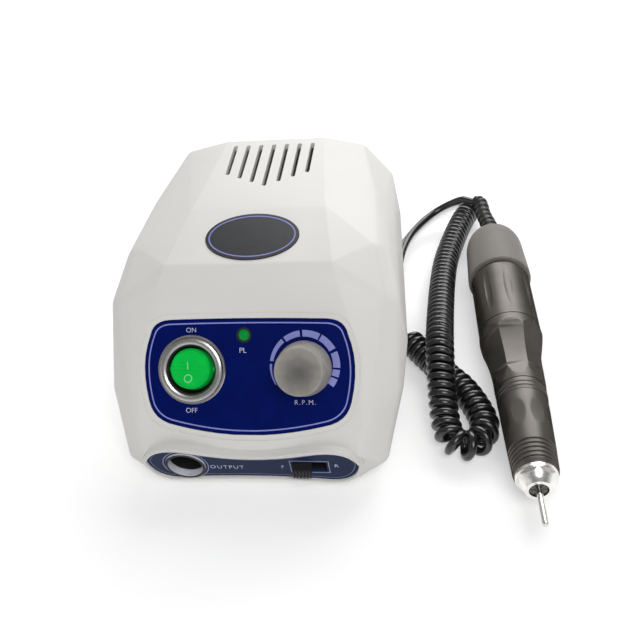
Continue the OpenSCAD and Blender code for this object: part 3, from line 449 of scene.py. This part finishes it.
# Cord: the route's points and distance per curl, as in the solids
WIRE_D = 3.4
COIL_D = 12
LEAD_ROUTE = [(86, 111.6, 17.2, 0), (80, 115.5, 16.6, 0), (72.6, 117.3, 12.6, 0), (65.6, 115.5, 9.2, 0),
              (59.2, 108.5, 7.6, 0), (53.8, 100, 6.2, 0), (50.2, 88.5, 5, 0), (48.6, 75, 3.2, 0),
              (48.2, 56, 2, 0), (49, 40, 2, 0), (51, 27, 4, 0)]
COIL_ROUTE = [(55, 16, 6.7, 4.6), (62.5, 5.7, 6.3, 4.6), (72, -7, 6.2, 4.7), (78.8, -15.5, 6.2, 5),
              (84, -25.6, 6.3, 5.8), (87.3, -36, 6.3, 8.2), (85.8, -44, 6.3, 11.1), (80.8, -47.9, 6.5, 11),
              (75, -45.4, 7, 11.3), (72.2, -37, 8.6, 8.6), (71, -26, 13, 5.3), (70.2, -14.5, 17.8, 4.7),
              (69.8, -3, 19.8, 4.6), (69.7, 11, 18.6, 4.4), (69.8, 28, 15.6, 4.3), (70.2, 48.5, 12, 4.2),
              (71.6, 71, 9, 4.2), (75.6, 94.5, 7, 4.2), (80, 112, 6.4, 4.3), (84.4, 123.5, 6.3, 4.4)]
TAIL_ROUTE = [(86.4, 131, 4.6, 0), (83.6, 136.4, 2.6, 0), (77.5, 137, 2, 0), (71.6, 133.6, 2, 0),
              (65, 127, 2, 0), (58.5, 117.6, 2, 0), (53, 106.4, 2, 0), (48.4, 96, 2, 0), (41, 88.5, 2.6, 0),
              (31, 86, 6, 0), (22, 86, 8, 0), (14, 86, 8, 0)]
# the solid's closest curls, the same curls as they lie here, and how much of its wider gaps is kept
CAD_GAP = 4.2
CURL_GAP = 3.62
CURL_SPREAD = 0.2
# curls over which the coil grows to its full size, points per curl, and the angle of the first
CURL_GROWTH = 1.2
CURL_STEPS = 24
CURL_START = 90.0
# distance between a lead's points; then in knots: the shortest step, the nudge into the coil, the clear end
# and the step of a slope
LEAD_STEP = 2.4
LEAST_STEP = 0.02
KNOT_NUDGE = 0.001
END_CLEAR = 0.3
SLOPE_STEP = 0.01
# wire diameters kept clear behind the straight first piece
START_CLEAR = 1.3
TUBE_STEPS = 4
UP = np.array((0, 0, 1))


def spline(route, t):
    """Catmull-Rom through the route's points, t counted in points."""
    i = min(int(t), len(route) - 2)
    u = t - i
    a, b, c, d = (route[max(0, min(len(route) - 1, i + k))] for k in (-1, 0, 1, 2))
    return b + 0.5 * u * ((c - a) + u * ((2 * a - 5 * b + 4 * c - d) + u * (3 * (b - c) + d - a)))


def slope(route, t):
    """The way and speed of a route at t, in millimetres per point."""
    low, high = max(0, t - SLOPE_STEP), min(len(route) - 1, t + SLOPE_STEP)
    return (spline(route, high)[:3] - spline(route, low)[:3]) / (high - low)


def unit(v):
    return v / np.linalg.norm(v)


def across(route, t):
    """Two directions square to a route: to its side, and up."""
    along = unit(slope(route, t))
    up = unit(UP - along[2] * along)
    return np.cross(along, up), up


def soft_step(x):
    u = max(0.0, min(1.0, x))
    return u * u * (3 - 2 * u)


def cord_line():
    """The cord's centreline in millimetres: plain lead, curls, plain lead."""
    route = np.array(LEAD_ROUTE + COIL_ROUTE + TAIL_ROUTE, float)
    first, last = len(LEAD_ROUTE), len(LEAD_ROUTE) + len(COIL_ROUTE) - 1
    end = len(route) - 1
    start_at, end_at = route[0][:3], route[end][:3]
    curl_r = (COIL_D - WIRE_D) / 2

    def gap(t):
        return CURL_GAP + CURL_SPREAD * max(0, spline(route, t)[3] - CAD_GAP)

    def point(t, angle):
        at = spline(route, t)[:3]
        if not first < t < last:
            return at
        rate = np.linalg.norm(slope(route, t)) / gap(t)
        grown = soft_step((t - first) * rate / CURL_GROWTH) * soft_step((last - t) * rate / CURL_GROWTH)
        side, up = across(route, t)
        turn = math.radians(angle)
        return at + curl_r * grown * (math.cos(turn) * side + math.sin(turn) * up)

    line = [start_at, start_at + WIRE_D * unit(slope(route, 0))]
    t, angle = 0.0, CURL_START
    while t < end:
        rate = np.linalg.norm(slope(route, t))
        curled = first < t + KNOT_NUDGE < last
        if curled:
            step = gap(t) / CURL_STEPS / rate
        elif t < first:
            step = min(LEAD_STEP / rate, max(LEAST_STEP, first - t))
        else:
            step = LEAD_STEP / rate
        if 0 < t < end - END_CLEAR and np.linalg.norm(spline(route, t)[:3] - start_at) > START_CLEAR * WIRE_D:
            line.append(point(t, angle))
        t += step
        angle += 360 / CURL_STEPS if curled else 0
    line += [end_at - WIRE_D * unit(slope(route, end)), end_at]
    return line


def make_cord():
    line = cord_line()
    data = bpy.data.curves.new("cord_tube", "CURVE")
    data.dimensions = "3D"
    data.bevel_depth = WIRE_D / 2 * MM
    data.bevel_resolution = TUBE_STEPS
    data.use_fill_caps = True
    track = data.splines.new("POLY")
    track.points.add(len(line) - 1)
    for knot, p in zip(track.points, line):
        knot.co = (*(p * MM), 1)
    data.materials.append(CORD)
    piece = link("cord_tube", data)
    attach(piece, "handpiece")
    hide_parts("cord")
    length = sum(np.linalg.norm(b - a) for a, b in zip(line, line[1:])) * MM
    return piece, length


# Boot: its straight part behind the cap, the points of its bend, and its radius at the cap with the taper
BOOT_STRAIGHT = 9
BOOT_BEND = [(90.4, 101, 15.8), (88.9, 109.7, 17.5)]
BOOT_R = 4.4
BOOT_TAPER = 1.4
BOOT_RINGS = 150
BOOT_SIDES = 32
# grooves: the plain share at each end, their number and depth, where their wave starts to cut and its rise
BOOT_PLAIN = 0.08
BOOT_GROOVES = 9
GROOVE_DEPTH = 0.62
GROOVE_FROM = -0.1
GROOVE_RISE = 0.7
# the rounded first edge: its share of the length and its depth
LIP_SHARE = 0.03
LIP_DEPTH = 0.35


def boot_radius(share):
    """The boot's radius at a share of its length."""
    groove = 0.0
    if BOOT_PLAIN < share < 1 - BOOT_PLAIN:
        turns = (share - BOOT_PLAIN) / (1 - 2 * BOOT_PLAIN) * BOOT_GROOVES
        wave = math.sin(turns * math.tau - math.pi / 2)
        groove = GROOVE_DEPTH * soft_step((wave - GROOVE_FROM) / GROOVE_RISE)
    lip = LIP_DEPTH * max(0, 1 - share / LIP_SHARE)
    return BOOT_R - BOOT_TAPER * share - groove - lip


def make_boot():
    """The ribbed bend relief between the cap and the cord."""
    base = HAND_AT - CAP_LENGTH * HAND_DIR
    route = np.array([base, base - BOOT_STRAIGHT * HAND_DIR, *BOOT_BEND, LEAD_ROUTE[0][:3]], float)
    points = []
    for k in range(BOOT_RINGS + 1):
        share = k / BOOT_RINGS
        t = share * (len(route) - 1)
        side, up = across(route, t)
        radius = boot_radius(share)
        points += [spline(route, t) + radius * (math.cos(a) * side + math.sin(a) * up)
                   for a in (math.tau * i / BOOT_SIDES for i in range(BOOT_SIDES))]
    faces = band_faces(BOOT_SIDES, BOOT_RINGS + 1)
    faces += [tuple(range(BOOT_SIDES))[::-1], tuple(BOOT_RINGS * BOOT_SIDES + i for i in range(BOOT_SIDES))]
    piece = add_mesh("bend_relief", points, faces, BOOT, "handpiece")
    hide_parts("strain_relief")
    return piece


cord_piece, cord_length = make_cord()
boot_piece = make_boot()

# Prints: thin plates on a sheet, sizes in millimetres
PRINT_T = 0.05
STROKE_TRIM = 0.03
CAP_SHARE = 0.7
LETTER_STEPS = 4
ARC_STEPS = 16
ELLIPSE_POINTS = 96
CIRCLE_POINTS = 64


def add_print(name, loops, faces, made, sheet):
    """A plate from loops of points, each at the foot or the top of the print."""
    place, face, body = sheet
    points = [(*p, face + PRINT_T if top else face) for loop, top in loops for p in loop]
    return add_mesh(name, points, faces, made, body, place, smooth=False)


def ring_plate(name, outer, inner, made, sheet):
    """A printed line: the strip between two closed outlines."""
    count = len(outer)
    faces = band_faces(count, 4)
    faces += [(3 * count + i, 3 * count + (i + 1) % count, (i + 1) % count, i) for i in range(count)]
    loops = [(outer, False), (outer, True), (inner, True), (inner, False)]
    return add_print(name, loops, faces, made, sheet)


def flat_plate(name, outline, made, sheet):
    """A printed mark, filled."""
    count = len(outline)
    faces = band_faces(count, 2) + [tuple(range(count))[::-1], tuple(range(count, 2 * count))]
    return add_print(name, [(outline, False), (outline, True)], faces, made, sheet)


def arc_plate(name, centre, radius, inner, angles, made, sheet):
    """A printed block of a dial scale, between two angles in degrees, with an inner radius at each."""
    def arc(radii):
        points = []
        for k in range(ARC_STEPS + 1):
            share = k / ARC_STEPS
            a = math.radians(angles[0] + (angles[1] - angles[0]) * share)
            r = radii[0] + (radii[1] - radii[0]) * share
            points.append((centre[0] + r * math.cos(a), centre[1] + r * math.sin(a)))
        return points

    loop = arc((radius, radius)) + arc(inner)[::-1]
    count = len(loop)
    faces = band_faces(count, 2)
    for k in range(ARC_STEPS):
        a, b, c, d = k, k + 1, count - 2 - k, count - 1 - k
        faces += [(count + a, count + b, count + c, count + d), (d, c, b, a)]
    return add_print(name, [(loop, False), (loop, True)], faces, made, sheet)


def words(name, text, centre, height, spacing, sheet):
    """Generic lettering: cap height in millimetres, centred on a point of its panel."""
    place, face, body = sheet
    data = bpy.data.curves.new(name, "FONT")
    data.body = text
    data.align_x = "CENTER"
    data.align_y = "CENTER"
    data.size = height / CAP_SHARE * MM
    data.space_character = spacing
    data.offset = -STROKE_TRIM * MM
    data.extrude = PRINT_T / 2 * MM
    data.resolution_u = LETTER_STEPS
    data.materials.append(PRINT_WORDS)
    piece = link(name, data)
    piece.matrix_world = spot(place, *centre, face + PRINT_T / 2)
    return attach(piece, body)


def bezier(a, b, c, count):
    """Points of a curve from a toward c, without c."""
    points = []
    for i in range(count):
        t = i / count
        points.append(tuple(a[k] * (1 - t) ** 2 + b[k] * 2 * t * (1 - t) + c[k] * t * t for k in (0, 1)))
    return points


def mirrored(half):
    """A whole outline from its right half."""
    return half + [(-p[0], p[1]) for p in reversed(half)]


def panel_outline(g):
    """The upper panel's outline, as in the solids, grown by g."""
    return mirrored(bezier((0, 20.2 + g), (16, 20.2 + g), (30, 19.8 + g), 8)
                    + bezier((30, 19.8 + g), (36.6 + g, 19.4 + g), (37.6 + g, 14), 16)
                    + bezier((37.6 + g, 14), (42 + g, 3.4), (38.6 + g, -11), 16)
                    + bezier((38.6 + g, -11), (37 + g, -18.2 - g), (29, -19.8 - g), 16)
                    + bezier((29, -19.8 - g), (14, -23.5 - g), (0, -23.5 - g), 12))


def bone_outline(g, h):
    """The lower panel's outline, as in the solids, grown by g at its ends and by h above and below."""
    return mirrored(bezier((0, 4 + h), (10, 4 + h), (22, 7.1 + h), 10)
                    + bezier((22, 7.1 + h), (37, 11.4 + h), (40.9 + g, 0.7), 18)
                    + bezier((40.9 + g, 0.7), (39 + g, -11.6 - h), (27, -9.4 - h), 18)
                    + bezier((27, -9.4 - h), (12, -8 - h), (0, -8 - h), 10))


def ellipse(a, b, count=ELLIPSE_POINTS):
    return [(a * math.cos(math.tau * i / count), b * math.sin(math.tau * i / count)) for i in range(count)]


def circle(centre, radius):
    return [(centre[0] + p[0], centre[1] + p[1]) for p in ellipse(radius, radius, CIRCLE_POINTS)]


def rectangle(u0, u1, v0, v1):
    return [(u0, v0), (u1, v0), (u1, v1), (u0, v1)]


# lines: the outer edge, then the inner edge
PANEL_LINE = (-1.35, -1.85)
LOWER_LINE = ((-1.2, -1.1), (-1.5, -1.4))
SOCKET_LINE_R = (8.95, 8.65)
SLOT_LINE = ((14.7, 29.7, -5.2, 2.6), (15, 29.4, -4.9, 2.3))
BADGE_LINE = ((17.0, 11.0), (16.5, 10.5))
ON_MARK = (-0.85, -0.5, 0.4, 3.1)
OFF_MARK_AT = (-0.3, -4.6)
OFF_MARK_R = (1.6, 1.25)
# the speed scale: from angle, to angle, width at each end
DIAL_CENTRE = (21.5, 2.5)
DIAL_R = 13.2
DIAL_BLOCKS = [(213, 177, 0.35, 0.9), (172, 131, 1.3, 1.7), (127, 98, 2.1, 2.3), (93.5, 63, 2.4, 2.5),
               (60, 29.5, 2.5, 2.6), (24, -3.5, 2.6, 2.7), (-7, -19.5, 2.7, 2.7), (-23, -37, 2.7, 2.7)]
# words: name, text, centre, cap height, letter spacing
UPPER_WORDS = [("label_on", "ON", (-21.6, 15.9), 1.8, 1.0), ("label_off", "OFF", (-22.1, -14.4), 1.85, 1.0),
               ("label_lamp", "PL", (-1.9, 8.2), 2.0, 1.0),
               ("label_speed", "R.P.M.", (21.4, -11.2), 1.8, 1.25)]
LOWER_WORDS = [("label_output", "OUTPUT", (-9.9, -2.4), 2.1, 1.2),
               ("label_forward", "F", (11.8, -1.7), 1.9, 1.0), ("label_reverse", "R", (32.4, -0.4), 2.0, 1.0)]


def upper_prints():
    ring_plate("panel_line", *(panel_outline(g) for g in PANEL_LINE), PRINT, UPPER_SHEET)
    for i, (a0, a1, w0, w1) in enumerate(DIAL_BLOCKS):
        arc_plate(f"dial_block_{i + 1}", DIAL_CENTRE, DIAL_R, (DIAL_R - w0, DIAL_R - w1), (a0, a1), PRINT,
                  UPPER_SHEET)
    for row in UPPER_WORDS:
        words(*row, UPPER_SHEET)


def rocker_marks():
    """The on bar and the off ring, on the two halves of the rocker."""
    flat_plate("mark_on", rectangle(*ON_MARK), ROCKER_MARK, ON_SHEET)
    ring_plate("mark_off", *(circle(OFF_MARK_AT, r) for r in OFF_MARK_R), ROCKER_MARK, OFF_SHEET)


def lower_prints():
    ring_plate("lower_line", *(bone_outline(*grown) for grown in LOWER_LINE), PRINT_DIM, LOWER_SHEET)
    ring_plate("socket_line", *(circle(SOCKET_AT, r) for r in SOCKET_LINE_R), PRINT_PALE, LOWER_SHEET)
    ring_plate("slot_line", *(rectangle(*edge) for edge in SLOT_LINE), PRINT_PALE, LOWER_SHEET)
    for row in LOWER_WORDS:
        words(*row, LOWER_SHEET)


def badge_print():
    ring_plate("badge_line", *(ellipse(*radii) for radii in BADGE_LINE), PRINT, BADGE_SHEET)


upper_prints()
rocker_marks()
lower_prints()
badge_print()

# Floor and light: metres and watts
FLOOR_COLOUR = (0.75, 0.75, 0.75)
FLOOR_ROUGH = 0.9
FLOOR_HALF = 9.0
# the floor's own white where it is seen directly, near the object and far from it
FLOOR_GLOW = 0.40
FLOOR_FAR_GLOW = 0.72
FLOOR_NEAR = 0.6
FLOOR_FAR = 2.0
# the world's strength at the horizon and overhead, and the height from which it is that of overhead
HORIZON = 0.8
ZENITH = 0.22
ZENITH_FROM = 0.55
# lamps: name, place, size, watts
LAMP_AIM = (0.02, 0.02, 0.03)
SOFT_BOXES = [("key_box", (0.2, 0.95, 0.85), (1.1, 0.7), 10.8),
              ("front_box", (0.35, -0.8, 1.1), (0.7, 0.7), 8),
              ("left_box", (-1.1, -0.15, 0.7), (0.7, 0.7), 0.6)]


def seen_directly(made):
    """One where a camera, mirror or glass ray arrives, so that the white shows in them too."""
    links = made.node_tree.links
    path = add_node(made, "ShaderNodeLightPath")
    seen = path.outputs["Is Camera Ray"]
    for kind in ("Is Glossy Ray", "Is Transmission Ray"):
        most = add_math(made, "ShaderNodeMath", "MAXIMUM")
        links.new(seen, most.inputs[0])
        links.new(path.outputs[kind], most.inputs[1])
        seen = most.outputs[0]
    return seen


def make_floor():
    """A pale floor that keeps the shadow and stays white far from the lamps."""
    made, bsdf = shader("floor_white", FLOOR_COLOUR, FLOOR_ROUGH)
    bsdf.inputs["Specular IOR Level"].default_value = 0.0
    links = made.node_tree.links
    coords = add_node(made, "ShaderNodeTexCoord")
    away = add_math(made, "ShaderNodeVectorMath", "LENGTH")
    reach = soft_range(made, FLOOR_NEAR, FLOOR_FAR, FLOOR_GLOW, FLOOR_FAR_GLOW)
    scale = add_math(made, "ShaderNodeMath", "MULTIPLY")
    glow = add_node(made, "ShaderNodeEmission")
    both = add_node(made, "ShaderNodeAddShader")
    links.new(coords.outputs["Object"], away.inputs[0])
    links.new(away.outputs["Value"], reach.inputs["Value"])
    links.new(seen_directly(made), scale.inputs[0])
    links.new(reach.outputs["Result"], scale.inputs[1])
    links.new(scale.outputs[0], glow.inputs["Strength"])
    links.new(bsdf.outputs[0], both.inputs[0])
    links.new(glow.outputs[0], both.inputs[1])
    links.new(both.outputs[0], made.node_tree.nodes["Material Output"].inputs["Surface"])
    data = bpy.data.meshes.new("floor")
    corners = rectangle(-FLOOR_HALF, FLOOR_HALF, -FLOOR_HALF, FLOOR_HALF)
    data.from_pydata([(*p, 0) for p in corners], [], [(0, 1, 2, 3)])
    data.materials.append(made)
    link("floor", data)


def make_world():
    """Soft light from all round: pale at the horizon, dimmer overhead."""
    world = bpy.data.worlds.new("studio")
    SCENE.world = world
    world.use_nodes = True
    links = world.node_tree.links
    coords = add_node(world, "ShaderNodeTexCoord")
    level = soft_range(world, 0, ZENITH_FROM, HORIZON, ZENITH)
    sky = world.node_tree.nodes["Background"]
    sky.inputs["Color"].default_value = (1, 1, 1, 1)
    links.new(above_plane(world, coords.outputs["Generated"]), level.inputs["Value"])
    links.new(level.outputs["Result"], sky.inputs["Strength"])


def soft_box(name, at, size, watts):
    data = bpy.data.lights.new(name, "AREA")
    data.shape = "RECTANGLE"
    data.size, data.size_y = size
    data.energy = watts
    lamp = link(name, data)
    lamp.location = at
    lamp.rotation_euler = (Vector(LAMP_AIM) - Vector(at)).to_track_quat("-Z", "Y").to_euler()


make_floor()
make_world()
for row in SOFT_BOXES:
    soft_box(*row)
SCENE.view_settings.view_transform = "Standard"

bpy.context.view_layer.update()
